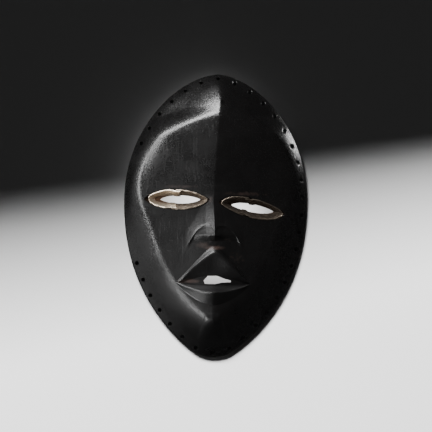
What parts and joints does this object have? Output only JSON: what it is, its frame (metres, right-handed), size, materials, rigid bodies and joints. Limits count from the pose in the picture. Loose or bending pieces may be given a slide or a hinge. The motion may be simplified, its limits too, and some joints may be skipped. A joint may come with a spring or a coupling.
{
  "type": "dan mask",
  "caption": "Carved oval wooden face mask, hollow behind, with a ridged forehead, slit eyes lined with bent metal strips, parted lips and small holes along the rim.",
  "frame": {"origin": "middle of the mask's bounding box, on the plane of the flat back rim that it lies on", "axes": "+X across the face to the viewer's right, +Y from chin to crown, +Z out of the face"},
  "size_m": [0.155, 0.2398, 0.0604],
  "materials": {
    "blackened_wood": "hard carved wood with a glossy black patina, finely scratched",
    "eye_metal": "thin hammered sheet, dull and mottled"
  },
  "bodies": {
    "root": {"mask_body": "blackened_wood", "left_eye_temple_strip": "eye_metal", "left_eye_nose_strip": "eye_metal", "right_eye_temple_strip": "eye_metal", "right_eye_nose_strip": "eye_metal"}
  },
  "joints": []
}
